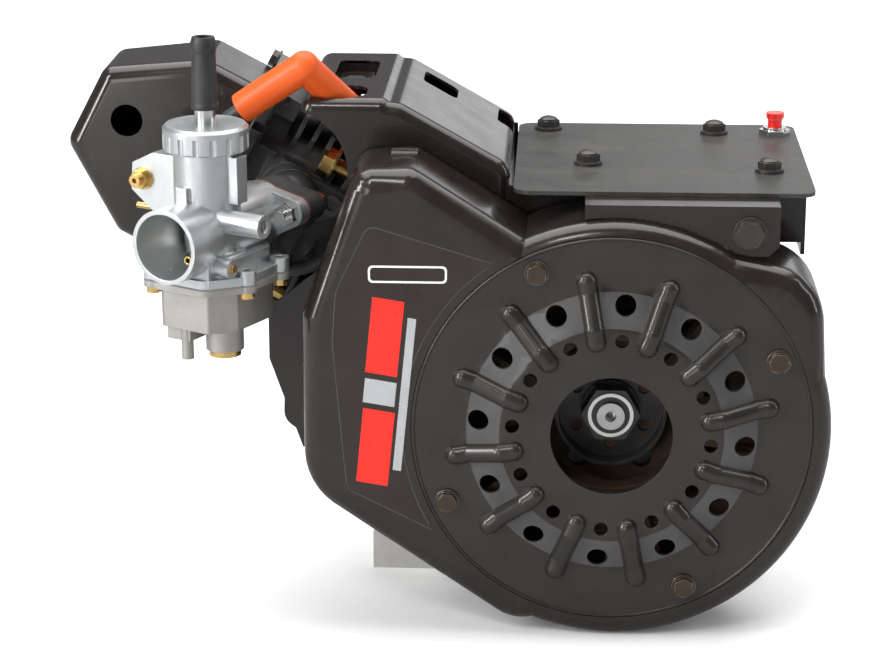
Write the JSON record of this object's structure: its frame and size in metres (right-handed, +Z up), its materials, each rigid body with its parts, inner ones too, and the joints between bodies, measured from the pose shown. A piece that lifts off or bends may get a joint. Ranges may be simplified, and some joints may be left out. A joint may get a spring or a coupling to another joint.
{
  "type": "small gasoline engine",
  "caption": "Air-cooled single-cylinder gasoline engine with a canted overhead-valve cylinder, sheet-metal fan housing, slide carburettor and keyed horizontal output shaft.",
  "frame": {"origin": "on the crank axis, in the plane of the machined drive-end mounting face", "axes": "+Z up, +Y along the crankshaft out of the drive end, +X to the right as seen from the fan side"},
  "size_m": [0.3753, 0.2822, 0.293],
  "materials": {
    "gloss_black_paint": "gloss",
    "satin_black_paint": "satin",
    "cast_aluminium": "as cast",
    "black_casting": "painted",
    "carb_zinc": "as cast",
    "bowl_zinc": "dull",
    "machined_steel": "machined",
    "plated_steel": "bright",
    "black_steel": "black oxide",
    "rusty_iron": "rusty",
    "cast_iron_grey": "machined",
    "brass": "bright",
    "gasket_grey": "matte",
    "gasket_red": "matte",
    "black_plastic": "matte",
    "red_plastic": "gloss",
    "orange_silicone": "satin",
    "black_rubber": "satin",
    "lead_rubber": "satin",
    "float_resin": "matte"
  },
  "bodies": {
    "engine": {"crankcase": "cast_aluminium", "cylinder_sleeve": "cast_iron_grey", "crankcase_cover": "cast_aluminium", "case_and_head_bolts": "machined_steel", "bearings_and_seals": "machined_steel", "oil_plugs": "black_plastic", "head_gasket": "gasket_grey", "cylinder_head": "black_casting", "rocker_cover_gasket": "gasket_grey", "rocker_cover": "gloss_black_paint", "spark_plug": "plated_steel", "spark_plug_boot": "orange_silicone", "ignition_lead": "lead_rubber", "ignition_coil": "black_plastic", "back_plate": "gloss_black_paint", "cylinder_shield": "gloss_black_paint", "blower_housing": "gloss_black_paint", "shroud_bolts": "black_steel", "fan_cover": "satin_black_paint", "fan_cover_screws": "black_steel", "air_guide": "gloss_black_paint", "control_plate": "satin_black_paint", "plate_bracket": "gloss_black_paint", "control_plate_bolts": "black_steel", "stop_switch": "plated_steel", "intake_manifold": "black_casting", "manifold_bolts": "black_steel", "insulator_block": "black_plastic", "carb_gasket": "gasket_red", "carb_body": "carb_zinc", "carb_studs": "plated_steel", "carb_cap": "carb_zinc", "cable_adjuster": "plated_steel", "adjuster_boot": "black_rubber", "float_bowl": "bowl_zinc", "bowl_gasket": "gasket_grey", "bowl_screws": "brass", "carb_brass_parts": "brass", "idle_speed_screw": "plated_steel", "intake_valve_spring": "plated_steel", "exhaust_valve_spring": "plated_steel", "slide_spring": "plated_steel", "rocker_shaft": "machined_steel"},
    "crank": {"crankshaft": "machined_steel", "flywheel": "rusty_iron", "flywheel_nut": "plated_steel"},
    "cam": {"camshaft": "cast_iron_grey"},
    "piston_set": {"piston": "cast_aluminium", "piston_rings": "cast_iron_grey", "connecting_rod": "cast_aluminium", "rod_pins": "machined_steel"},
    "intake_lifter": {"intake_pushrod": "machined_steel"},
    "exhaust_lifter": {"exhaust_pushrod": "machined_steel"},
    "intake_rocker_arm": {"intake_rocker": "cast_iron_grey"},
    "exhaust_rocker_arm": {"exhaust_rocker": "cast_iron_grey"},
    "intake_poppet": {"intake_valve": "machined_steel"},
    "exhaust_poppet": {"exhaust_valve": "machined_steel"},
    "slide": {"throttle_slide": "plated_steel"},
    "float_arm": {"float": "float_resin"},
    "button": {"stop_button": "red_plastic"}
  },
  "joints": [
    {"name": "crank_spin", "type": "hinge", "parent": "engine", "child": "crank", "pos_m": [0, 0, 0], "axis": [0, 1, 0], "continuous": true},
    {"name": "cam_spin", "type": "hinge", "parent": "engine", "child": "cam", "pos_m": [-0.05432, 0, -0.02548], "axis": [0, 1, 0], "continuous": true},
    {"name": "piston_slide", "type": "slide", "parent": "engine", "child": "piston_set", "axis": [0.8829, 0, -0.4695], "range_m": [0, 0.056]},
    {"name": "intake_push", "type": "slide", "parent": "engine", "child": "intake_lifter", "axis": [-0.8572, 0, 0.515], "range_m": [0, 0.005]},
    {"name": "exhaust_push", "type": "slide", "parent": "engine", "child": "exhaust_lifter", "axis": [-0.8572, 0, 0.515], "range_m": [0, 0.005]},
    {"name": "intake_rock", "type": "hinge", "parent": "engine", "child": "intake_rocker_arm", "pos_m": [-0.22378, -0.086, 0.10313], "axis": [0, 1, 0], "range_deg": [0, 12.5]},
    {"name": "exhaust_rock", "type": "hinge", "parent": "engine", "child": "exhaust_rocker_arm", "pos_m": [-0.22378, -0.054, 0.10313], "axis": [0, 1, 0], "range_deg": [0, 12.5]},
    {"name": "intake_open", "type": "slide", "parent": "engine", "child": "intake_poppet", "axis": [0.8829, 0, -0.4695], "range_m": [0, 0.005]},
    {"name": "exhaust_open", "type": "slide", "parent": "engine", "child": "exhaust_poppet", "axis": [0.8829, 0, -0.4695], "range_m": [0, 0.005]},
    {"name": "throttle_lift", "type": "slide", "parent": "engine", "child": "slide", "axis": [0, 0, 1], "range_m": [0, 0.02], "stiffness_N_per_m": 120, "springref_m": -0.01, "deforming": ["slide_spring"]},
    {"name": "float_swing", "type": "hinge", "parent": "engine", "child": "float_arm", "pos_m": [-0.17779, -0.15804, 0.0694], "axis": [0.8829, -0.4695, 0], "range_deg": [0, 5]},
    {"name": "button_press", "type": "slide", "parent": "engine", "child": "button", "axis": [0, 0, -1], "range_m": [0, 0.0025], "stiffness_N_per_m": 400, "springref_m": -0.001}
  ],
  "couplings": [
    {"joint": "cam_spin", "follows": "crank_spin", "ratio": -0.5},
    {"joint": "intake_rock", "follows": "intake_push", "rad_per_m": 42.9},
    {"joint": "intake_open", "follows": "intake_push", "ratio": 0.987},
    {"joint": "exhaust_rock", "follows": "exhaust_push", "rad_per_m": 42.9},
    {"joint": "exhaust_open", "follows": "exhaust_push", "ratio": 0.987}
  ]
}
